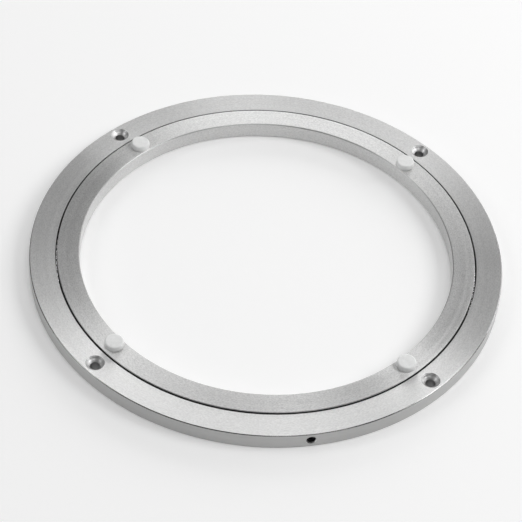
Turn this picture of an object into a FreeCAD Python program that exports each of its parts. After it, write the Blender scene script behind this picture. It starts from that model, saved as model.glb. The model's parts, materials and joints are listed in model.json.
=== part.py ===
import FreeCAD, Part
import math
import os

# Lazy susan bearing: two flat aluminium rings, one inside the other, that turn on a full
# complement of steel balls. Millimetres. The origin is the centre of the outer ring's
# underside and +Z points up, along the axis of rotation.

# Outer ring, the fixed one
OUTER_OD = 300.0
RING_THICKNESS = 11.0
FACE_EDGE_CHAMFER = 0.5
GAP_EDGE_CHAMFER = 0.25

# Gap and ball race
RACE_RADIUS = 133.1
GAP_WIDTH = 1.0
BALL_DIAMETER = 4.7625
BALL_COUNT = 174
BALLS_PER_GROUP = 6
GROOVE_CLEARANCE = 0.10
RACE_HEIGHT = RING_THICKNESS / 2

# Inner ring, the turning one
INNER_ID = 237.2
INNER_RING_LIFT = 0.5

# Countersunk screw holes in the outer ring
SCREW_HOLE_COUNT = 4
SCREW_CIRCLE_DIAMETER = 285.0
SCREW_HOLE_DIAMETER = 6.0
COUNTERSINK_DIAMETER = 11.4
FIRST_SCREW_ANGLE = 45.0

# Ball-filling hole and its set screw
FILLER_ANGLE = -78.65
FILLER_HOLE_DIAMETER = 6.0
FILLER_HOLE_MOUTH_CHAMFER = 0.3
PLUG_LENGTH = 12.0
PLUG_RECESS = 1.8
PLUG_END_CHAMFER = 0.8
PLUG_SOCKET_ACROSS_FLATS = 3.0
PLUG_SOCKET_DEPTH = 3.5

# Silicone pads in the inner ring
PAD_COUNT = 4
PAD_CIRCLE_DIAMETER = 249.8
FIRST_PAD_ANGLE = 43.65
PAD_DIAMETER = 12.0
PAD_TOP_DIAMETER = 11.6
PAD_HEIGHT = 3.9
PAD_TOP_ROUND = 0.7
PAD_FOOT_ROUND = 0.4
PAD_STEM_DIAMETER = 5.0
PAD_STEM_LENGTH = 7.0
PAD_STEM_TIP_CHAMFER = 0.6
PAD_HOLE_DIAMETER = 5.1

OUTER_RADIUS = OUTER_OD / 2
INNER_RADIUS = INNER_ID / 2
OUTER_RING_BORE_RADIUS = RACE_RADIUS + GAP_WIDTH / 2
INNER_RING_EDGE_RADIUS = RACE_RADIUS - GAP_WIDTH / 2
GROOVE_RADIUS = BALL_DIAMETER / 2 + GROOVE_CLEARANCE
INNER_RING_BASE = INNER_RING_LIFT
INNER_RING_TOP = INNER_RING_LIFT + RING_THICKNESS

UP = FreeCAD.Vector(0, 0, 1)
ORIGIN = FreeCAD.Vector(0, 0, 0)


def polar(radius, angle_deg, height=0.0):
    """Point at a radius and an angle about the axis of rotation."""
    angle = math.radians(angle_deg)
    return FreeCAD.Vector(radius * math.cos(angle), radius * math.sin(angle), height)


def revolve_profile(points, axis_point=ORIGIN, axis=UP):
    """Solid of revolution from a closed polygon of points in a plane that holds the axis."""
    wire = Part.makePolygon(points + points[:1])
    return Part.Face(wire).revolve(axis_point, axis, 360.0)


def ring_blank(inside, outside, base, top, inside_chamfer, outside_chamfer):
    """Flat ring with its own chamfer on the two inside edges and on the two outside edges."""
    section = [
        (inside + inside_chamfer, base),
        (outside - outside_chamfer, base),
        (outside, base + outside_chamfer),
        (outside, top - outside_chamfer),
        (outside - outside_chamfer, top),
        (inside + inside_chamfer, top),
        (inside, top - inside_chamfer),
        (inside, base + inside_chamfer),
    ]
    return revolve_profile([FreeCAD.Vector(x, 0, z) for x, z in section])


def race_groove():
    """Torus that cuts the ball groove into a ring."""
    return Part.makeTorus(RACE_RADIUS, GROOVE_RADIUS, FreeCAD.Vector(0, 0, RACE_HEIGHT), UP)


def stepped_shaft(radii_and_stations, base, axis):
    """Turned solid along an axis, from (radius, distance along the axis) pairs in order."""
    side = axis.cross(FreeCAD.Vector(0, 0, 1))
    if side.Length < 0.5:
        side = FreeCAD.Vector(1, 0, 0)
    side.normalize()
    first, last = radii_and_stations[0][1], radii_and_stations[-1][1]
    points = [base + axis * first]
    points += [base + axis * along + side * radius for radius, along in radii_and_stations]
    points.append(base + axis * last)
    return revolve_profile(points, base, axis)


def countersunk_hole(angle_deg):
    """Screw hole through the outer ring, with a 90 degree countersink from the top."""
    radius = SCREW_HOLE_DIAMETER / 2
    mouth = COUNTERSINK_DIAMETER / 2
    overrun = 1.0
    sink_depth = mouth - radius
    stations = [
        (radius, -overrun),
        (radius, RING_THICKNESS - sink_depth),
        (mouth, RING_THICKNESS),
        (mouth, RING_THICKNESS + overrun),
    ]
    return stepped_shaft(stations, polar(SCREW_CIRCLE_DIAMETER / 2, angle_deg), UP)


def filler_hole():
    """Radial hole in the outer ring through which the balls are loaded into the race."""
    radius = FILLER_HOLE_DIAMETER / 2
    chamfer = FILLER_HOLE_MOUTH_CHAMFER
    overrun = 1.0
    stations = [
        (radius, RACE_RADIUS),
        (radius, OUTER_RADIUS - chamfer),
        (radius + chamfer + overrun, OUTER_RADIUS + overrun),
    ]
    return stepped_shaft(stations, FreeCAD.Vector(0, 0, RACE_HEIGHT), polar(1.0, FILLER_ANGLE))


def make_outer_ring():
    ring = ring_blank(
        OUTER_RING_BORE_RADIUS,
        OUTER_RADIUS,
        0.0,
        RING_THICKNESS,
        GAP_EDGE_CHAMFER,
        FACE_EDGE_CHAMFER,
    )
    ring = ring.cut(race_groove())
    for index in range(SCREW_HOLE_COUNT):
        ring = ring.cut(countersunk_hole(FIRST_SCREW_ANGLE + index * 360.0 / SCREW_HOLE_COUNT))
    return ring.cut(filler_hole())


def make_inner_ring():
    ring = ring_blank(
        INNER_RADIUS,
        INNER_RING_EDGE_RADIUS,
        INNER_RING_BASE,
        INNER_RING_TOP,
        FACE_EDGE_CHAMFER,
        GAP_EDGE_CHAMFER,
    )
    ring = ring.cut(race_groove())
    for index in range(PAD_COUNT):
        base = polar(PAD_CIRCLE_DIAMETER / 2, pad_angle(index), INNER_RING_BASE - 1.0)
        ring = ring.cut(Part.makeCylinder(PAD_HOLE_DIAMETER / 2, RING_THICKNESS + 2.0, base, UP))
    return ring


def pad_angle(index):
    return FIRST_PAD_ANGLE + index * 360.0 / PAD_COUNT


def make_pad(index):
    """Round pad with rounded edges and a stem that fills its hole in the inner ring."""
    seat = polar(PAD_CIRCLE_DIAMETER / 2, pad_angle(index), INNER_RING_TOP)
    head = Part.makeCone(PAD_DIAMETER / 2, PAD_TOP_DIAMETER / 2, PAD_HEIGHT, seat, UP)
    top_edge = max(head.Edges, key=lambda edge: edge.BoundBox.ZMin)
    head = head.makeFillet(PAD_TOP_ROUND, [top_edge])
    foot_edge = min(head.Edges, key=lambda edge: edge.BoundBox.ZMax)
    head = head.makeFillet(PAD_FOOT_ROUND, [foot_edge])
    radius = PAD_STEM_DIAMETER / 2
    stations = [
        (radius - PAD_STEM_TIP_CHAMFER, -PAD_STEM_LENGTH),
        (radius, PAD_STEM_TIP_CHAMFER - PAD_STEM_LENGTH),
        (radius, PAD_HEIGHT / 2),
    ]
    return head.fuse(stepped_shaft(stations, seat, UP)).removeSplitter()


def make_filler_plug():
    """Set screw with a hexagon socket that closes the ball-filling hole."""
    outward = polar(1.0, FILLER_ANGLE)
    mouth = OUTER_RADIUS - PLUG_RECESS
    tip = mouth - PLUG_LENGTH
    radius = FILLER_HOLE_DIAMETER / 2
    stations = [
        (radius - PLUG_END_CHAMFER, tip),
        (radius, tip + PLUG_END_CHAMFER),
        (radius, mouth - PLUG_END_CHAMFER / 2),
        (radius - PLUG_END_CHAMFER / 2, mouth),
    ]
    centre = FreeCAD.Vector(0, 0, RACE_HEIGHT)
    screw = stepped_shaft(stations, centre, outward)
    corner_radius = PLUG_SOCKET_ACROSS_FLATS / math.sqrt(3)
    sideways = outward.cross(UP)
    socket_floor = centre + outward * (mouth - PLUG_SOCKET_DEPTH)
    corners = []
    for step in range(6):
        turn = math.radians(60 * step)
        corners.append(
            socket_floor
            + sideways * (corner_radius * math.cos(turn))
            + UP * (corner_radius * math.sin(turn))
        )
    hexagon = Part.Face(Part.makePolygon(corners + corners[:1]))
    return screw.cut(hexagon.extrude(outward * (PLUG_SOCKET_DEPTH + 1.0)))


def make_ball(index):
    """One ball of the race. No ball's centre is in line with the filling hole."""
    pitch = 360.0 / BALL_COUNT
    centre = polar(RACE_RADIUS, FILLER_ANGLE + (index + 0.5) * pitch, RACE_HEIGHT)
    return Part.makeSphere(BALL_DIAMETER / 2, centre)


def make_nodes():
    nodes = {
        "outer_ring": make_outer_ring(),
        "inner_ring": make_inner_ring(),
        "filler_plug": make_filler_plug(),
    }
    for index in range(PAD_COUNT):
        nodes[f"pad_{index + 1}"] = make_pad(index)
    for group in range(BALL_COUNT // BALLS_PER_GROUP):
        first = group * BALLS_PER_GROUP
        balls = [make_ball(first + place) for place in range(BALLS_PER_GROUP)]
        nodes[f"balls_{group + 1:02d}"] = Part.makeCompound(balls)
    return nodes


os.makedirs("parts", exist_ok=True)
for name, shape in make_nodes().items():
    shape.exportStep(f"parts/{name}.step")
    print(name, len(shape.Solids), shape.isValid(), round(shape.Volume, 2))
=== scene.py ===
import json
import math

import bmesh
import bpy
from bpy.props import FloatProperty, FloatVectorProperty, IntProperty, PointerProperty
from mathutils import Matrix, Vector


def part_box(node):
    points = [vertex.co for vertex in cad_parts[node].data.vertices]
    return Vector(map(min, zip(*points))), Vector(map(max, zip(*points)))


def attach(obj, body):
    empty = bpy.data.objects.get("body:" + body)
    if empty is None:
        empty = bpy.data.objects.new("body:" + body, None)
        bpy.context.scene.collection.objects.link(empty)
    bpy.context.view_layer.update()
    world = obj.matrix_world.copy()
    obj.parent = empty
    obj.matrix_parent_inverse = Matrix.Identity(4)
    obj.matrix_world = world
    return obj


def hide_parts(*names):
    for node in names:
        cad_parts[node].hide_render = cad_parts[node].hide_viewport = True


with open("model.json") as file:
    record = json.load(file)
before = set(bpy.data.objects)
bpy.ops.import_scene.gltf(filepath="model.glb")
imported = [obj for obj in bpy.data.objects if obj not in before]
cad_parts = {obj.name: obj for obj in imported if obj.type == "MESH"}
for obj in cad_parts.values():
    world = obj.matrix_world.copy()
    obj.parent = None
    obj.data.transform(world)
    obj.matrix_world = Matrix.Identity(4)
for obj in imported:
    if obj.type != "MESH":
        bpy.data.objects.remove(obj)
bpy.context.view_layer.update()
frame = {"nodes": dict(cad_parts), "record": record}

bl_info = {
    "name": "Ring Turntable",
    "version": (1, 0, 0),
    "blender": (4, 5, 0),
    "location": "View3D > Sidebar > Turntable",
    "description": "Finishes an aluminium ring turntable that runs on a race of balls",
    "category": "Object",
}

UP = Vector((0, 0, 1))
RIGHT = Vector((1, 0, 0))
DRILLED, TAPPED = 1, 2  # material slots of a ring's holes
SEAM = 1e-7  # points nearer than this are one point
CRISP_ANGLE = math.radians(18.0)  # edges that turn more than this stay sharp
OVERRUN = 0.001  # how far a cutter runs past the face that it cuts
LONG_RUN = 0.0008  # runs of a profile longer than this get shoulders
CORNER_SHARE = 0.18  # size of the rounds at a chamfer's ends, as a share of the chamfer
THREAD_FOOT = 0.42  # half width of the thread's ridge, as a share of its pitch
THREAD_GAP = 0.00001  # gap between the ridge's foot and the wall of the hole
THREAD_END = 0.0001  # space left at each end of the thread
BURR = 0.00012  # broken edge where a screw hole or countersink meets a face
FLOOR_REACH = 9.0
LAMP_SIZE = 1.1
LAMP_DISTANCE = 2.4

# Lamps round the turntable: name, degrees clockwise from the back, degrees above the
# horizontal, and watts.
LAMPS = (
    ("right_high", 90, 42, 19.4),
    ("back_low", 2, 18, 12.4),
    ("front_right_high", 150, 66, 9.7),
    ("right_back_low", 60, 18, 9.2),
    ("left_high", -90, 42, 8.7),
    ("back_right_low", 30, 18, 6.2),
    ("back_left_high", -30, 66, 3.5),
)


def ring_sizes(node):
    """Inside radius, outside radius, base and top of a ring, read from its frame node."""
    corners = [vertex.co for vertex in frame["nodes"][node].data.vertices]
    reach = [math.hypot(co.x, co.y) for co in corners]
    heights = [co.z for co in corners]
    return min(reach), max(reach), min(heights), max(heights)


def bolt_circle():
    """Radius of the screw circle and of its holes, from the record's mount."""
    mount = next(m for m in frame["record"]["mounts"] if m["name"] == "base_screws")
    return mount["dims"]["pcd_mm"] / 2000, mount["dims"]["hole_r_mm"] / 1000


def middle(node):
    """Middle of a frame node's box."""
    low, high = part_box(node)
    return (low + high) / 2


OUTER_BORE, OUTER_EDGE, OUTER_BASE, OUTER_TOP = ring_sizes("outer_ring")
INNER_BORE, INNER_EDGE, INNER_BASE, INNER_TOP = ring_sizes("inner_ring")
SCREW_CIRCLE, SCREW_HOLE = bolt_circle()
RACE_CENTRE = (OUTER_BORE + INNER_EDGE) / 2
PAD_NODES = [f"pad_{number}" for number in range(1, 5)]
BALL_NODES = sorted(name for name in frame["nodes"] if name.startswith("balls_"))


# ---------------------------------------------------------------- sizes and colours


class RingSizes(bpy.types.PropertyGroup):
    """Sizes that the two rings share."""

    steps: IntProperty(
        name="Steps",
        description="Facets round each ring",
        default=320,
        min=32,
    )
    face_chamfer: FloatProperty(
        name="Face edge chamfer",
        description="Size of the broken edges on the rim and on the central bore",
        default=0.0005,
        unit="LENGTH",
    )
    gap_chamfer: FloatProperty(
        name="Gap edge chamfer",
        description="Size of the broken edges at the gap between the rings",
        default=0.00025,
        unit="LENGTH",
    )
    race_height: FloatProperty(
        name="Race height",
        description="Height of the balls' centres",
        default=(OUTER_BASE + OUTER_TOP) / 2,
        unit="LENGTH",
    )
    groove_radius: FloatProperty(
        name="Groove radius",
        description="Radius of the ball groove's arc",
        default=0.00248125,
        unit="LENGTH",
    )
    groove_steps: IntProperty(
        name="Groove steps",
        description="Facets across the ball groove",
        default=14,
        min=4,
    )
    countersink: FloatProperty(
        name="Countersink",
        description="Radius of a countersink at the face",
        default=0.0057,
        unit="LENGTH",
    )
    hole_steps: IntProperty(
        name="Hole steps",
        description="Facets round each screw hole",
        default=64,
        min=12,
    )
    stem_hole: FloatProperty(
        name="Stem hole",
        description="Radius of the holes that take the pad stems",
        default=0.00255,
        unit="LENGTH",
    )
    stem_hole_steps: IntProperty(
        name="Stem hole steps",
        description="Facets round each hole for a pad stem",
        default=40,
        min=12,
    )


class FillerSizes(bpy.types.PropertyGroup):
    """Sizes of the ball-filling hole and its thread."""

    bearing: FloatProperty(
        name="Bearing",
        description="Direction of the hole about the vertical axis",
        default=math.radians(-78.65),
        subtype="ANGLE",
    )
    radius: FloatProperty(
        name="Radius",
        description="Radius of the hole at the root of its thread",
        default=0.003,
        unit="LENGTH",
    )
    mouth: FloatProperty(
        name="Mouth",
        description="Size of the chamfer at the mouth of the hole",
        default=0.0003,
        unit="LENGTH",
    )
    steps: IntProperty(
        name="Steps",
        description="Facets round the hole",
        default=48,
        min=12,
    )
    thread_depth: FloatProperty(
        name="Thread depth",
        description="Height of the thread's crests above its root",
        default=0.0005,
        unit="LENGTH",
    )
    pitch: FloatProperty(
        name="Pitch",
        description="Distance between thread crests",
        default=0.001,
        unit="LENGTH",
    )
    thread_steps: IntProperty(
        name="Thread steps",
        description="Facets in each turn of the thread",
        default=28,
        min=8,
    )


class PadSizes(bpy.types.PropertyGroup):
    """Sizes of a silicone pad."""

    foot: FloatProperty(
        name="Foot radius",
        description="Radius of the pad where it meets the ring",
        default=0.006,
        unit="LENGTH",
    )
    crown: FloatProperty(
        name="Crown radius",
        description="Radius of the pad's side at its top",
        default=0.0058,
        unit="LENGTH",
    )
    top_round: FloatProperty(
        name="Top round",
        description="Size of the rounded top edge",
        default=0.0009,
        unit="LENGTH",
    )
    foot_round: FloatProperty(
        name="Foot round",
        description="Size of the rounded edge at the foot",
        default=0.0004,
        unit="LENGTH",
    )
    stem: FloatProperty(
        name="Stem radius",
        description="Radius of the stem inside the ring",
        default=0.0025,
        unit="LENGTH",
    )
    stem_round: FloatProperty(
        name="Stem round",
        description="Size of the rounded edge at the stem's lower end",
        default=0.0006,
        unit="LENGTH",
    )
    round_steps: IntProperty(
        name="Round steps",
        description="Facets across each rounded edge",
        default=7,
        min=1,
    )
    steps: IntProperty(
        name="Steps",
        description="Facets round each pad",
        default=72,
        min=12,
    )


class BallSizes(bpy.types.PropertyGroup):
    """Sizes of the balls in the race."""

    radius: FloatProperty(
        name="Radius",
        description="Radius of one ball",
        default=0.00238125,
        unit="LENGTH",
    )
    count: IntProperty(
        name="Count",
        description="Balls in the whole race",
        default=174,
        min=3,
    )


class Finishes(bpy.types.PropertyGroup):
    """Colours and gloss of the object's surfaces."""

    aluminium: FloatVectorProperty(
        name="Aluminium",
        description="Colour of the turned aluminium",
        default=(0.80, 0.80, 0.795),
        subtype="COLOR",
    )
    bright_cut: FloatVectorProperty(
        name="Bright cut",
        description="Colour of the drilled and countersunk aluminium",
        default=(0.60, 0.60, 0.60),
        subtype="COLOR",
    )
    silicone: FloatVectorProperty(
        name="Silicone",
        description="Colour of the frosted pads",
        default=(0.82, 0.825, 0.82),
        subtype="COLOR",
    )
    steel: FloatVectorProperty(
        name="Steel",
        description="Colour of the balls",
        default=(0.82, 0.82, 0.83),
        subtype="COLOR",
    )
    black_oxide: FloatVectorProperty(
        name="Black oxide",
        description="Colour of the set screw",
        default=(0.025, 0.025, 0.028),
        subtype="COLOR",
    )
    # Near-black colour of the race: greased metal, and painted shade in the gap.
    grease_and_shade: FloatVectorProperty(
        name="Grease",
        description="Colour of the greased metal inside the race",
        default=(0.03, 0.03, 0.03),
        subtype="COLOR",
    )
    turned_roughness: FloatProperty(
        name="Turned roughness",
        description="Roughness of the turned faces",
        default=0.39,
        subtype="FACTOR",
    )
    turned_stretch: FloatProperty(
        name="Turned stretch",
        description="How far the gloss is stretched across the turning marks",
        default=0.88,
        subtype="FACTOR",
    )
    outer_lean: FloatProperty(
        name="Outer ring lean",
        description="Lean of the outer ring's turning marks towards the axis",
        default=0.08,
    )
    inner_lean: FloatProperty(
        name="Inner ring lean",
        description="Lean of the inner ring's turning marks towards the axis",
        default=-0.045,
    )


class StudioSetup(bpy.types.PropertyGroup):
    """Floor, lamps and camera."""

    floor_colour: FloatVectorProperty(
        name="Floor",
        description="Colour of the floor",
        default=(0.93, 0.93, 0.93),
        subtype="COLOR",
    )
    floor_glow: FloatProperty(
        name="Floor glow",
        description="Light that the floor gives off itself, as a lit table does",
        default=0.12,
    )
    room_light: FloatProperty(
        name="Room light",
        description="Strength of the even light from all round",
        default=0.2,
    )
    camera_target: FloatVectorProperty(
        name="Camera target",
        description="Point that the camera looks at",
        default=(-0.003446, -0.009308, OUTER_TOP),
        subtype="TRANSLATION",
    )
    camera_distance: FloatProperty(
        name="Camera distance",
        description="Distance from the camera to the point that it looks at",
        default=1.217,
        unit="LENGTH",
    )
    camera_bearing: FloatProperty(
        name="Camera bearing",
        description="Turn of the camera about the vertical axis from the front",
        default=math.radians(-1.842),
        subtype="ANGLE",
    )
    camera_height: FloatProperty(
        name="Camera height angle",
        description="Angle of the camera above the horizontal",
        default=math.radians(46.19),
        subtype="ANGLE",
    )
    camera_roll: FloatProperty(
        name="Camera roll",
        description="Turn of the camera about its own line of sight",
        default=math.radians(4.374),
        subtype="ANGLE",
    )
    camera_lens: FloatProperty(
        name="Lens",
        description="Focal length in millimetres",
        default=132.8,
    )


# ---------------------------------------------------------------- shader maths


class Flow:
    """A shader socket that Python arithmetic can be written on."""

    def __init__(self, finish, socket):
        self.finish = finish
        self.socket = socket

    def _math(self, operation, *values):
        return self.finish.use("ShaderNodeMath", {"operation": operation}, dict(enumerate(values)))

    def __add__(self, other):
        return self._math("ADD", self, other)

    def __radd__(self, other):
        return self._math("ADD", other, self)

    def __sub__(self, other):
        return self._math("SUBTRACT", self, other)

    def __rsub__(self, other):
        return self._math("SUBTRACT", other, self)

    def __mul__(self, other):
        return self._math("MULTIPLY", self, other)

    def __rmul__(self, other):
        return self._math("MULTIPLY", other, self)

    def __truediv__(self, other):
        return self._math("DIVIDE", self, other)

    def __pow__(self, other):
        return self._math("POWER", self, other)

    def clamped(self):
        """The value held between 0 and 1."""
        node = self.finish.node(
            "ShaderNodeMath", {"operation": "ADD", "use_clamp": True}, {0: self, 1: 0.0}
        )
        return Flow(self.finish, node.outputs[0])

    def ramp(self, low, high):
        """0 below low, 1 above high and smooth between them."""
        return self.finish.use(
            "ShaderNodeMapRange",
            {"interpolation_type": "SMOOTHSTEP"},
            {"Value": self, "From Min": low, "From Max": high},
        )


class Finish:
    """A procedural material under construction."""

    def __init__(self, name):
        self.material = bpy.data.materials.new(name)
        self.material.use_nodes = True
        self.tree = self.material.node_tree
        self.tree.nodes.clear()

    def node(self, kind, settings=None, inputs=None):
        """A new node: its settings first, then the values or links of its sockets."""
        node = self.tree.nodes.new(kind)
        for key, value in (settings or {}).items():
            setattr(node, key, value)
        for key, value in (inputs or {}).items():
            if isinstance(value, Flow):
                self.tree.links.new(value.socket, node.inputs[key])
            else:
                node.inputs[key].default_value = value
        return node

    def use(self, kind, settings=None, inputs=None, output=0):
        """One output of a new node."""
        return Flow(self, self.node(kind, settings, inputs).outputs[output])

    def vector(self, operation, *values):
        """One Vector Math node."""
        return self.use("ShaderNodeVectorMath", {"operation": operation}, dict(enumerate(values)))

    def place(self):
        """Object coordinates."""
        return self.use("ShaderNodeTexCoord", output="Object")

    def facing(self):
        """The surface's direction in object space."""
        return self.use("ShaderNodeTexCoord", output="Normal")

    def parts_of(self, vector):
        """The three components of a vector."""
        node = self.node("ShaderNodeSeparateXYZ", inputs={0: vector})
        return [Flow(self, socket) for socket in node.outputs]

    def joined(self, *parts):
        """A vector from three values."""
        return self.use("ShaderNodeCombineXYZ", inputs=dict(enumerate(parts)))

    def noise(self, scale, detail, where=None):
        """Cloudy noise from 0 to 1 on object coordinates."""
        return self.use(
            "ShaderNodeTexNoise",
            inputs={"Vector": where or self.place(), "Scale": scale, "Detail": detail},
        )

    def line_noise(self, along, scale, detail):
        """Noise that varies along one value only, as turning marks do."""
        return self.use(
            "ShaderNodeTexNoise",
            {"noise_dimensions": "1D"},
            {"W": along, "Scale": scale, "Detail": detail},
        )

    def blend(self, share, first, second):
        """A mix of two colours."""
        node = self.node(
            "ShaderNodeMix",
            {"data_type": "RGBA"},
            {"Factor": share, 6: first, 7: second},
        )
        return Flow(self, node.outputs[2])

    def bump(self, height, strength, distance, normal=None):
        """Small relief from a height."""
        inputs = {"Height": height, "Strength": strength, "Distance": distance}
        if normal is not None:
            inputs["Normal"] = normal
        return self.use("ShaderNodeBump", inputs=inputs)

    def shade(self, **inputs):
        """Finishes the material with one principled shader."""
        named = {key.replace("_", " "): value for key, value in inputs.items()}
        shader = self.use("ShaderNodeBsdfPrincipled", inputs=named)
        self.node("ShaderNodeOutputMaterial", inputs={"Surface": shader})
        return self.material


def rgba(colour):
    """A colour with full alpha."""
    return (*colour, 1.0)


def shaded(colour, factor):
    """A colour made lighter or darker."""
    return tuple(min(1.0, part * factor) for part in colour) + (1.0,)


def grooved_normal(finish, around, facing, slope):
    """World normal of a surface whose cut marks run around, tipped across them by slope."""
    across = finish.vector("CROSS_PRODUCT", facing, around)
    tip = finish.use("ShaderNodeVectorMath", {"operation": "SCALE"}, {0: across, "Scale": slope})
    tipped = finish.vector("NORMALIZE", finish.vector("ADD", facing, tip))
    return finish.use(
        "ShaderNodeVectorTransform",
        {"vector_type": "NORMAL", "convert_from": "OBJECT", "convert_to": "WORLD"},
        {0: tipped},
    )


def turned_aluminium(name, finishes, lean, tone, coarse):
    """Aluminium faced on a lathe: fine rings about the axis, on the faces and the walls.

    The gloss is stretched across the rings. The upright walls of the rim and the bore and the
    broken edges get painted shade, and the race is near black, greased and in painted shade.
    The marks lean towards the axis by lean, the darkest streaks are shaded by tone, and
    coarse says how strongly the streaks show."""
    finish = Finish(name)
    place, facing = finish.place(), finish.facing()
    x, y, z = finish.parts_of(place)
    upright = finish.parts_of(facing)[2]
    reach = (x * x + y * y) ** 0.5
    station = reach + z

    # Marks from single cuts to broad bands, cloudy patches, and grain in short streaks.
    fine = finish.line_noise(station, 5200.0, 1.0)
    medium = finish.line_noise(station, 1100.0, 1.0)
    bands = finish.line_noise(station, 260.0, 2.0)
    cloud = finish.noise(45.0, 3.0)
    grain = finish.noise(2600.0, 1.0)
    round_and_across = (x / reach * 95.0, y / reach * 95.0, station * 1900.0)
    streaks = finish.noise(1.0, 2.0, finish.joined(*round_and_across))
    slope = (fine - 0.5) * 0.16 + (medium - 0.5) * 0.08 + lean
    around = finish.vector("NORMALIZE", finish.vector("CROSS_PRODUCT", tuple(UP), place))
    normal = grooved_normal(finish, around, facing, slope)

    # Masks: broken edges and the upright walls of the rim and the bore, which get painted shade,
    # and the race, which goes near black, greased and in painted shade.
    flat = upright * upright
    edge = (1.0 - (flat * 2.0 - 1.0) ** 2.0).ramp(0.35, 0.9)
    outside = (reach - (OUTER_EDGE - 0.001)).ramp(0.0, 0.0008)
    inside = (INNER_BORE + 0.001 - reach).ramp(0.0, 0.0008)
    wall = (outside + inside * 0.3) * (1.0 - flat).ramp(0.3, 0.9)
    # The race and the gap walls below the top face go near black: greased metal, and painted shade
    # in the gap.
    beside = 1.0 - ((reach - RACE_CENTRE) ** 2.0).ramp(0.0026**2, 0.0029**2)
    depth = (OUTER_TOP - z).ramp(0.0, 0.0004) * (z - OUTER_BASE).ramp(0.0004, 0.0012)
    grease_and_shade = beside * depth

    broad = (bands - 0.5) * 0.16 + (cloud - 0.5) * 0.10
    light = broad + (streaks - 0.5) * coarse + (grain - 0.5) * 0.4 + 0.5
    dark, pale = shaded(finishes.aluminium, tone), shaded(finishes.aluminium, 1.25)
    cut = finish.blend(light.clamped(), dark, pale)
    # Painted shade: the upright wall of the rim is darkened, and the bore's wall less so.
    skin = finish.blend(wall, cut, shaded(finishes.aluminium, 0.67))
    # Painted shade and painted dark reflection on the broken edges, darker still on the rim's
    # outer edge.
    painted_edge_shade = finish.blend(edge * 0.75, skin, shaded(finishes.aluminium, 0.55))
    painted_edge_shade = finish.blend(edge * outside, painted_edge_shade, shaded(finishes.aluminium, 0.42))
    roughness = finishes.turned_roughness + (cloud - 0.5) * 0.06 + (bands - 0.5) * 0.08
    return finish.shade(
        Base_Color=finish.blend(grease_and_shade, painted_edge_shade, rgba(finishes.grease_and_shade)),
        Metallic=1.0 - grease_and_shade * 0.7,
        Specular_IOR_Level=0.25,
        Roughness=(roughness + edge * 0.06 - edge * outside * 0.26 + grease_and_shade * 0.1).clamped(),
        Anisotropic=finishes.turned_stretch,
        Anisotropic_Rotation=0.25,
        Normal=finish.bump(grain, 0.08, 0.00002, normal),
    )


def drilled_aluminium(name, finishes):
    """Aluminium cut by a drill or countersink, with marks round the hole's own axis, and painted
    shade deep in the hole and in a ring at the rim.
    """
    finish = Finish(name)
    place, facing = finish.place(), finish.facing()
    z = finish.parts_of(place)[2]
    marks = finish.line_noise(z, 2600.0, 1.0)
    cloud = finish.noise(900.0, 2.0)
    around = finish.vector("NORMALIZE", finish.vector("CROSS_PRODUCT", tuple(UP), facing))
    normal = grooved_normal(finish, around, facing, (marks - 0.5) * 0.7)
    # Painted shade: darker deep in the hole and in a thin ring at the countersink's rim.
    low = 1.0 - z.ramp(OUTER_TOP - 0.0042, OUTER_TOP - 0.0024)
    rim = z.ramp(OUTER_TOP - 0.0011, OUTER_TOP - 0.0002)
    tone = ((cloud - 0.5) * 0.8 + (marks - 0.5) * 1.2 + 0.5).clamped()
    colour = finish.blend(
        tone, shaded(finishes.bright_cut, 0.80), shaded(finishes.bright_cut, 1.15)
    )
    return finish.shade(
        Base_Color=finish.blend((low + rim) * 0.6, colour, shaded(finishes.bright_cut, 0.55)),
        Metallic=1.0,
        Roughness=(0.38 + (cloud - 0.5) * 0.16).clamped(),
        Normal=finish.bump(cloud, 0.12, 0.00003, normal),
    )


def tapped_aluminium(name, finishes, thread_lightness):
    """Aluminium of a tapped thread: very dark, dull and mottled, brighter at the mouth, and
    lighter where the factor passed in is larger.
    """
    finish = Finish(name)
    cloud = finish.noise(1400.0, 3.0)
    # A random mottle between two very dark tones, made lighter by the factor passed in.
    thread_mottle = cloud.ramp(0.35, 0.7)
    x, y, _ = finish.parts_of(finish.place())
    mouth = ((x * x + y * y) ** 0.5).ramp(OUTER_EDGE - 0.00045, OUTER_EDGE - 0.0002)
    colour = finish.blend(
        thread_mottle, shaded(finishes.bright_cut, 0.10 * thread_lightness), shaded(finishes.bright_cut, 0.30 * thread_lightness)
    )
    return finish.shade(
        Base_Color=finish.blend(mouth, colour, shaded(finishes.bright_cut, 1.2)),
        Metallic=1.0,
        Roughness=(0.34 + (cloud - 0.5) * 0.3).clamped(),
        Normal=finish.bump(cloud, 0.3, 0.00003),
    )


def frosted_silicone(name, finishes):
    """Milky moulded silicone with a fine matt skin, and painted shade on the pads' lower sides."""
    finish = Finish(name)
    cloud = finish.noise(420.0, 3.0)
    skin = finish.noise(3200.0, 2.0)
    upright = finish.parts_of(finish.facing())[2]
    # Painted shade: the lower side of each pad is darkened.
    low = 1.0 - finish.parts_of(finish.place())[2].ramp(INNER_TOP, INNER_TOP + 0.002)
    side = low * (1.0 - upright.ramp(0.2, 0.9))
    mottle = ((cloud - 0.5) * 1.2 + (skin - 0.5) * 0.8 + 0.5).clamped()
    milk = finish.blend(mottle, shaded(finishes.silicone, 0.9), shaded(finishes.silicone, 1.1))
    return finish.shade(
        Base_Color=finish.blend(side * 0.35, milk, shaded(finishes.silicone, 0.72)),
        Roughness=(0.46 + (cloud - 0.5) * 0.12).clamped(),
        IOR=1.41,
        Subsurface_Weight=0.35,
        Subsurface_Radius=(1.0, 1.0, 1.0),
        Subsurface_Scale=0.002,
        Normal=finish.bump(skin, 0.25, 0.00004),
    )


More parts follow.
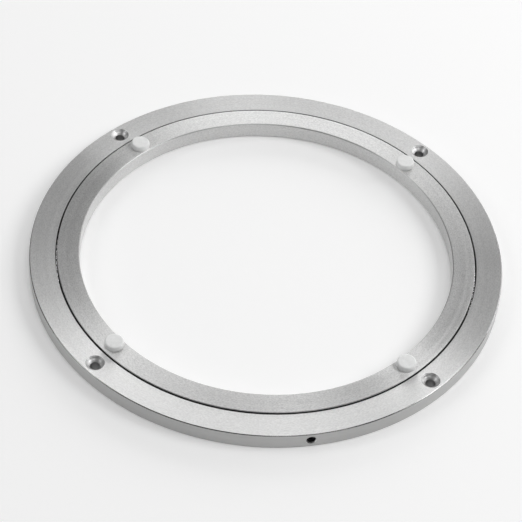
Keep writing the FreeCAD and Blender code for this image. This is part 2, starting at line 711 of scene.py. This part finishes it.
def bearing_steel(name, finishes):
    """Polished steel with a greasy film."""
    finish = Finish(name)
    film = finish.noise(700.0, 2.0)
    colour = finish.blend(film, shaded(finishes.steel, 0.9), shaded(finishes.steel, 1.2))
    return finish.shade(
        Base_Color=colour,
        Metallic=1.0,
        Roughness=(0.08 + film * 0.14).clamped(),
        Normal=finish.bump(film, 0.05, 0.00002),
    )


def black_oxide_steel(name, finishes):
    """Blackened steel with a slight oily sheen, rubbed grey in places."""
    finish = Finish(name)
    cloud = finish.noise(1100.0, 3.0)
    rub = cloud.ramp(0.56, 0.75)
    colour = finish.blend(rub, rgba(finishes.black_oxide), shaded(finishes.black_oxide, 4.0))
    return finish.shade(
        Base_Color=colour,
        Metallic=0.6,
        Roughness=(0.42 + (cloud - 0.5) * 0.2).clamped(),
        Normal=finish.bump(cloud, 0.2, 0.00003),
    )


def studio_floor(name, setup):
    """Matt pale paper."""
    finish = Finish(name)
    cloud = finish.noise(3.0, 2.0)
    colour = finish.blend(
        cloud, shaded(setup.floor_colour, 0.995), shaded(setup.floor_colour, 1.005)
    )
    return finish.shade(
        Base_Color=colour,
        Roughness=0.9,
        Emission_Color=(1.0, 1.0, 1.0, 1.0),
        Emission_Strength=setup.floor_glow,
    )


# ---------------------------------------------------------------- mesh building


def sharpen(mesh_maker):
    """Smooth faces, with the sharper edges kept crisp."""
    for face in mesh_maker.faces:
        face.smooth = True
    for edge in mesh_maker.edges:
        if len(edge.link_faces) == 2:
            edge.smooth = edge.calc_face_angle(0.0) < CRISP_ANGLE


def finished_object(name, mesh_maker, materials):
    """An object at the origin from a bmesh, with its faces outwards."""
    bmesh.ops.remove_doubles(mesh_maker, verts=mesh_maker.verts, dist=SEAM)
    bmesh.ops.recalc_face_normals(mesh_maker, faces=mesh_maker.faces)
    sharpen(mesh_maker)
    mesh = bpy.data.meshes.new(name)
    mesh_maker.to_mesh(mesh)
    mesh_maker.free()
    for material in materials:
        mesh.materials.append(material)
    piece = bpy.data.objects.new(name, mesh)
    bpy.context.scene.collection.objects.link(piece)
    return piece


def chain(mesh_maker, points):
    """Vertices and edges through points in order."""
    verts = [mesh_maker.verts.new(point) for point in points]
    edges = [mesh_maker.edges.new(pair) for pair in zip(verts, verts[1:])]
    return verts, edges


def arc_from(mesh_maker, start, centre, axis, angle, steps):
    """Spins a vertex about a centre. Returns the last vertex of the arc."""
    spun = bmesh.ops.spin(
        mesh_maker,
        geom=[start],
        cent=centre,
        axis=axis,
        angle=angle,
        steps=steps,
        use_duplicate=False,
    )
    return next(item for item in spun["geom_last"] if isinstance(item, bmesh.types.BMVert))


def lathe(mesh_maker, centre, axis, steps):
    """Turns every edge of the bmesh about an axis into a closed skin."""
    bmesh.ops.spin(
        mesh_maker,
        geom=list(mesh_maker.verts) + list(mesh_maker.edges),
        cent=centre,
        axis=axis,
        angle=math.tau,
        steps=steps,
        use_merge=True,
        use_duplicate=False,
    )


def turned_solid(profile, centre, axis, side, steps):
    """Bmesh of a turned solid from (radius, station) pairs along an axis.

    The profile starts and ends on the axis, and the poles are merged."""
    mesh_maker = bmesh.new()
    chain(mesh_maker, [centre + axis * along + side * radius for radius, along in profile])
    lathe(mesh_maker, centre, axis, steps)
    bmesh.ops.remove_doubles(mesh_maker, verts=mesh_maker.verts, dist=SEAM)
    bmesh.ops.recalc_face_normals(mesh_maker, faces=mesh_maker.faces)
    return mesh_maker


def ring_skin(bore, edge, base, top, bore_chamfer, edge_chamfer, groove_on_edge, sizes):
    """Bmesh of one ring with chamfered edges and the ball groove in one of its walls."""
    mesh_maker = bmesh.new()
    corners = [
        ((bore, base), bore_chamfer),
        ((edge, base), edge_chamfer),
        ((edge, top), edge_chamfer),
        ((bore, top), bore_chamfer),
    ]
    wall = edge if groove_on_edge else bore
    half = math.sqrt(sizes.groove_radius**2 - (wall - RACE_CENTRE) ** 2)
    low = mesh_maker.verts.new((wall, 0, sizes.race_height - half))
    swing = 2 * math.asin(half / sizes.groove_radius)
    high = arc_from(
        mesh_maker,
        low,
        (RACE_CENTRE, 0, sizes.race_height),
        (0, 1, 0),
        swing if groove_on_edge else -swing,
        sizes.groove_steps,
    )
    made = [mesh_maker.verts.new((x, 0, z)) for (x, z), _ in corners]
    if groove_on_edge:
        order = [made[3], made[0], made[1], low], [high, made[2], made[3]]
    else:
        order = [low, made[0], made[1], made[2], made[3], high], []
    for run in order:
        for pair in zip(run, run[1:]):
            mesh_maker.edges.new(pair)
    for vert, (_, size) in zip(made, corners):
        chamfer(mesh_maker, vert, size)
    add_shoulders(mesh_maker, distance=0.00006)
    lathe(mesh_maker, (0, 0, 0), UP, sizes.steps)
    bmesh.ops.recalc_face_normals(mesh_maker, faces=mesh_maker.faces)
    return mesh_maker


def chamfer(mesh_maker, vert, size):
    """Breaks a corner of the profile with a flat, and rounds the two ends of the flat."""
    ends = [vert]
    for offset, segments in ((size, 1), (size * CORNER_SHARE, 3)):
        made = bmesh.ops.bevel(
            mesh_maker,
            geom=ends,
            affect="VERTICES",
            offset=offset,
            segments=segments,
            profile=0.5,
            material=-1,
        )
        ends = made["verts"]


def add_shoulders(mesh_maker, distance):
    """Adds a point near each end of the profile's long runs, so that flats stay flat."""
    for edge in list(mesh_maker.edges):
        length = edge.calc_length()
        if length > LONG_RUN:
            first, last = edge.verts
            _, vert = bmesh.utils.edge_split(edge, first, distance / length)
            rest = next(part for part in vert.link_edges if last in part.verts)
            bmesh.utils.edge_split(rest, last, distance / rest.calc_length())


def cut_away(piece, cutters):
    """Takes each cutter's solid out of a piece and leaves the result in its mesh."""
    for mesh_maker, material_index in cutters:
        for face in mesh_maker.faces:
            face.material_index = material_index
        mesh = bpy.data.meshes.new("cutter")
        mesh_maker.to_mesh(mesh)
        mesh_maker.free()
        for slot in piece.data.materials:
            mesh.materials.append(slot)
        cutter = bpy.data.objects.new("cutter", mesh)
        bpy.context.scene.collection.objects.link(cutter)
        modifier = piece.modifiers.new("cut", "BOOLEAN")
        modifier.operation = "DIFFERENCE"
        modifier.solver = "EXACT"
        modifier.object = cutter
        bpy.context.view_layer.update()
        ready = piece.evaluated_get(bpy.context.evaluated_depsgraph_get())
        carved = bpy.data.meshes.new_from_object(ready)
        piece.modifiers.clear()
        old, piece.data = piece.data, carved
        carved.name = piece.name
        bpy.data.meshes.remove(old)
        bpy.data.objects.remove(cutter)
        bpy.data.meshes.remove(mesh)
    dress = bmesh.new()
    dress.from_mesh(piece.data)
    sharpen(dress)
    dress.to_mesh(piece.data)
    dress.free()


def around_axis(radius, angle, height):
    """Point at a radius and an angle about the vertical axis."""
    return Vector((radius * math.cos(angle), radius * math.sin(angle), height))


def direction(bearing, height):
    """Unit vector at a bearing clockwise from the back and an angle above the horizontal."""
    flat = math.cos(height)
    return Vector((math.sin(bearing) * flat, math.cos(bearing) * flat, math.sin(height)))


# ---------------------------------------------------------------- operators


class TURNTABLE_OT_outer_ring(bpy.types.Operator):
    """Make the fixed outer ring with its countersunk holes and its ball-filling hole"""

    bl_idname = "turntable.outer_ring"
    bl_label = "Outer Ring"

    def execute(self, context):
        scene = context.scene
        sizes, filler, finishes = scene.ring_sizes, scene.filler_sizes, scene.finishes
        ring = ring_skin(
            OUTER_BORE,
            OUTER_EDGE,
            OUTER_BASE,
            OUTER_TOP,
            sizes.gap_chamfer,
            sizes.face_chamfer,
            False,
            sizes,
        )
        materials = [
            turned_aluminium(
                "outer_ring_turned", finishes, finishes.outer_lean, tone=0.8, coarse=1.1
            ),
            drilled_aluminium("countersink_cut", finishes),
            tapped_aluminium("filler_thread", finishes, thread_lightness=1.0),
        ]
        piece = finished_object("outer_ring_turned", ring, materials)
        cut_away(piece, self.cutters(sizes, filler))
        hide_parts("outer_ring")
        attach(piece, "base")
        return {"FINISHED"}

    def cutters(self, sizes, filler):
        """The countersunk holes and the filling hole, each as a solid with its finish."""
        depth = sizes.countersink - SCREW_HOLE
        sink = [
            (0, OUTER_BASE - OVERRUN),
            (SCREW_HOLE + BURR + OVERRUN, OUTER_BASE - OVERRUN),
            (SCREW_HOLE + BURR, OUTER_BASE),
            (SCREW_HOLE, OUTER_BASE + BURR),
            (SCREW_HOLE, OUTER_TOP - depth),
            (sizes.countersink - BURR, OUTER_TOP - BURR),
            (sizes.countersink + BURR, OUTER_TOP),
            (sizes.countersink + BURR, OUTER_TOP + OVERRUN),
            (0, OUTER_TOP + OVERRUN),
        ]
        made = []
        for quarter in range(4):
            angle = math.radians(45 + 90 * quarter)
            centre = around_axis(SCREW_CIRCLE, angle, 0)
            made.append((turned_solid(sink, centre, UP, RIGHT, sizes.hole_steps), DRILLED))
        outward = around_axis(1, filler.bearing, 0)
        bore = [
            (0, RACE_CENTRE),
            (filler.radius, RACE_CENTRE),
            (filler.radius, OUTER_EDGE - filler.mouth),
            (filler.radius + filler.mouth + OVERRUN, OUTER_EDGE + OVERRUN),
            (0, OUTER_EDGE + OVERRUN),
        ]
        centre = Vector((0, 0, sizes.race_height))
        made.append((turned_solid(bore, centre, outward, UP, filler.steps), TAPPED))
        return made


class TURNTABLE_OT_inner_ring(bpy.types.Operator):
    """Make the turning inner ring with the holes for the pad stems"""

    bl_idname = "turntable.inner_ring"
    bl_label = "Inner Ring"

    def execute(self, context):
        scene = context.scene
        sizes, finishes = scene.ring_sizes, scene.finishes
        ring = ring_skin(
            INNER_BORE,
            INNER_EDGE,
            INNER_BASE,
            INNER_TOP,
            sizes.face_chamfer,
            sizes.gap_chamfer,
            True,
            sizes,
        )
        materials = [
            turned_aluminium(
                "inner_ring_turned", finishes, finishes.inner_lean, tone=0.68, coarse=1.2
            ),
            drilled_aluminium("stem_hole_cut", finishes),
        ]
        piece = finished_object("inner_ring_turned", ring, materials)
        cutters = []
        hole = [
            (0, INNER_BASE - OVERRUN),
            (sizes.stem_hole, INNER_BASE - OVERRUN),
            (sizes.stem_hole, INNER_TOP + OVERRUN),
            (0, INNER_TOP + OVERRUN),
        ]
        for node in PAD_NODES:
            centre = middle(node)
            centre.z = 0
            cutter = turned_solid(hole, centre, UP, RIGHT, sizes.stem_hole_steps)
            cutters.append((cutter, DRILLED))
        cut_away(piece, cutters)
        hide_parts("inner_ring")
        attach(piece, "turntable")
        return {"FINISHED"}


class TURNTABLE_OT_pads(bpy.types.Operator):
    """Mould the silicone pads that carry the table top"""

    bl_idname = "turntable.pads"
    bl_label = "Pads"

    def execute(self, context):
        scene = context.scene
        sizes = scene.pad_sizes
        material = frosted_silicone("frosted_silicone", scene.finishes)
        for number, node in enumerate(PAD_NODES, 1):
            low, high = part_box(node)
            centre = Vector(((low.x + high.x) / 2, (low.y + high.y) / 2, 0))
            pad = self.moulding(sizes, centre, low.z, high.z)
            piece = finished_object(f"silicone_pad_{number}", pad, [material])
            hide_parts(node)
            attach(piece, "turntable")
        return {"FINISHED"}

    def moulding(self, sizes, centre, base, top):
        """Half section with rounded corners, turned about the pad's own axis."""
        mesh_maker = bmesh.new()
        section = [
            ((0, base), 0),
            ((sizes.stem, base), sizes.stem_round),
            ((sizes.stem, INNER_TOP), 0),
            ((sizes.foot, INNER_TOP), sizes.foot_round),
            ((sizes.crown, top), sizes.top_round),
            ((0, top), 0),
        ]
        verts, _ = chain(mesh_maker, [centre + Vector((r, 0, z)) for (r, z), _ in section])
        for vert, (_, size) in zip(verts, section):
            if size:
                bmesh.ops.bevel(
                    mesh_maker,
                    geom=[vert],
                    affect="VERTICES",
                    offset=size,
                    segments=sizes.round_steps,
                    profile=0.5,
                    material=-1,
                )
        add_shoulders(mesh_maker, distance=0.00008)
        lathe(mesh_maker, centre, UP, sizes.steps)
        return mesh_maker


class TURNTABLE_OT_filler(bpy.types.Operator):
    """Finish the set screw and cut the thread in the mouth of the ball-filling hole"""

    bl_idname = "turntable.filler"
    bl_label = "Filling Hole"

    def execute(self, context):
        scene = context.scene
        sizes, filler, finishes = scene.ring_sizes, scene.filler_sizes, scene.finishes
        screw = frame["nodes"]["filler_plug"]
        screw.data.materials.clear()
        screw.data.materials.append(black_oxide_steel("black_oxide_steel", finishes))
        outward = around_axis(1, filler.bearing, 0)
        centre = Vector((0, 0, sizes.race_height))
        head = max(vertex.co.dot(outward) for vertex in screw.data.vertices)
        start, stop = head + THREAD_END, OUTER_EDGE - THREAD_END
        piece = finished_object(
            "filler_thread",
            self.thread(filler, centre, outward, start, stop),
            [tapped_aluminium("thread_crest", finishes, thread_lightness=1.8)],
        )
        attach(piece, "base")
        return {"FINISHED"}

    def thread(self, filler, centre, outward, start, stop):
        """A ridge wound round the wall of the hole from its plug to its mouth."""
        mesh_maker = bmesh.new()
        half = filler.pitch * THREAD_FOOT
        root = filler.radius - THREAD_GAP
        first = centre + outward * (start + half)
        corners = [
            first - outward * half + UP * root,
            first + UP * (root - filler.thread_depth),
            first + outward * half + UP * root,
        ]
        verts = [mesh_maker.verts.new(corner) for corner in corners]
        face = mesh_maker.faces.new(verts)
        turns = (stop - start - 2 * half) / filler.pitch
        steps = int(turns * filler.thread_steps)
        bmesh.ops.spin(
            mesh_maker,
            geom=[face],
            cent=centre,
            axis=outward,
            dvec=outward * (filler.pitch * turns / steps),
            angle=math.tau * turns,
            steps=steps,
            use_duplicate=False,
        )
        return mesh_maker


class TURNTABLE_OT_balls(bpy.types.Operator):
    """Load the steel balls of the race"""

    bl_idname = "turntable.balls"
    bl_label = "Balls"

    def execute(self, context):
        scene = context.scene
        sizes, rings, filler = scene.ball_sizes, scene.ring_sizes, scene.filler_sizes
        material = bearing_steel("bearing_steel", scene.finishes)
        share = sizes.count // len(BALL_NODES)
        pitch = math.tau / sizes.count
        for group, node in enumerate(BALL_NODES):
            mesh_maker = bmesh.new()
            for place in range(share):
                angle = filler.bearing + (group * share + place + 0.5) * pitch
                centre = around_axis(RACE_CENTRE, angle, rings.race_height)
                bmesh.ops.create_icosphere(
                    mesh_maker,
                    subdivisions=2,
                    radius=sizes.radius,
                    matrix=Matrix.Translation(centre) @ Matrix.Rotation(angle, 4, "Z"),
                )
            for face in mesh_maker.faces:
                face.smooth = True
            mesh = bpy.data.meshes.new(f"race_{node}")
            mesh_maker.to_mesh(mesh)
            mesh_maker.free()
            mesh.materials.append(material)
            piece = bpy.data.objects.new(f"race_{node}", mesh)
            scene.collection.objects.link(piece)
            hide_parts(node)
            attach(piece, "ball_train")
        return {"FINISHED"}


class TURNTABLE_OT_stage(bpy.types.Operator):
    """Set the floor, the soft lamps and the camera"""

    bl_idname = "turntable.stage"
    bl_label = "Stage"

    def execute(self, context):
        scene = context.scene
        setup = scene.studio_setup
        self.floor(scene, setup)
        self.lamps(scene, setup)
        self.camera(scene, setup)
        scene.view_settings.view_transform = "Standard"
        return {"FINISHED"}

    def floor(self, scene, setup):
        mesh_maker = bmesh.new()
        bmesh.ops.create_grid(mesh_maker, x_segments=1, y_segments=1, size=FLOOR_REACH)
        mesh = bpy.data.meshes.new("floor")
        mesh_maker.to_mesh(mesh)
        mesh_maker.free()
        mesh.materials.append(studio_floor("pale_floor", setup))
        floor = bpy.data.objects.new("floor", mesh)
        scene.collection.objects.link(floor)

    def lamps(self, scene, setup):
        """Even light from all round, and soft lamps to the sides and the back."""
        world = bpy.data.worlds.new("room")
        world.use_nodes = True
        background = world.node_tree.nodes["Background"]
        background.inputs["Color"].default_value = (1, 1, 1, 1)
        background.inputs["Strength"].default_value = setup.room_light
        scene.world = world
        for name, bearing, height, power in LAMPS:
            self.lamp(scene, name, math.radians(bearing), math.radians(height), power)

    def lamp(self, scene, name, bearing, height, power):
        """A square soft lamp at a bearing clockwise from the back, aimed at the turntable."""
        light = bpy.data.lights.new(name, "AREA")
        light.shape = "SQUARE"
        light.size = LAMP_SIZE
        light.energy = power
        lamp = bpy.data.objects.new(name, light)
        scene.collection.objects.link(lamp)
        away = direction(bearing, height)
        aim = (-away).to_track_quat("-Z", "Y").to_matrix().to_4x4()
        lamp.matrix_world = Matrix.Translation(away * LAMP_DISTANCE) @ aim

    def camera(self, scene, setup):
        bearing, height = setup.camera_bearing, setup.camera_height
        target = Vector(setup.camera_target)
        away = direction(math.pi - bearing, height)
        data = bpy.data.cameras.new("camera")
        data.lens = setup.camera_lens
        camera = bpy.data.objects.new("camera", data)
        scene.collection.objects.link(camera)
        right = UP.cross(away).normalized()
        turn = Matrix((right, away.cross(right), away)).transposed().to_4x4()
        camera.matrix_world = (
            Matrix.Translation(target + away * setup.camera_distance)
            @ turn
            @ Matrix.Rotation(setup.camera_roll, 4, "Z")
        )
        scene.camera = camera


class TURNTABLE_PT_panel(bpy.types.Panel):
    """Lists the steps that make the turntable"""

    bl_idname = "TURNTABLE_PT_panel"
    bl_label = "Ring Turntable"
    bl_space_type = "VIEW_3D"
    bl_region_type = "UI"
    bl_category = "Turntable"

    def draw(self, context):
        column = self.layout.column()
        for operator in OPERATORS:
            column.operator(operator.bl_idname)


OPERATORS = (
    TURNTABLE_OT_outer_ring,
    TURNTABLE_OT_inner_ring,
    TURNTABLE_OT_pads,
    TURNTABLE_OT_filler,
    TURNTABLE_OT_balls,
    TURNTABLE_OT_stage,
)
GROUPS = {
    "ring_sizes": RingSizes,
    "filler_sizes": FillerSizes,
    "pad_sizes": PadSizes,
    "ball_sizes": BallSizes,
    "finishes": Finishes,
    "studio_setup": StudioSetup,
}


def register():
    for name, group in GROUPS.items():
        bpy.utils.register_class(group)
        setattr(bpy.types.Scene, name, PointerProperty(type=group))
    for operator in OPERATORS:
        bpy.utils.register_class(operator)
    bpy.utils.register_class(TURNTABLE_PT_panel)


def unregister():
    bpy.utils.unregister_class(TURNTABLE_PT_panel)
    for operator in reversed(OPERATORS):
        bpy.utils.unregister_class(operator)
    for name, group in reversed(GROUPS.items()):
        delattr(bpy.types.Scene, name)
        bpy.utils.unregister_class(group)


def main():
    register()
    bpy.ops.turntable.outer_ring()
    bpy.ops.turntable.inner_ring()
    bpy.ops.turntable.pads()
    bpy.ops.turntable.filler()
    bpy.ops.turntable.balls()
    bpy.ops.turntable.stage()


if __name__ == "__main__":
    main()
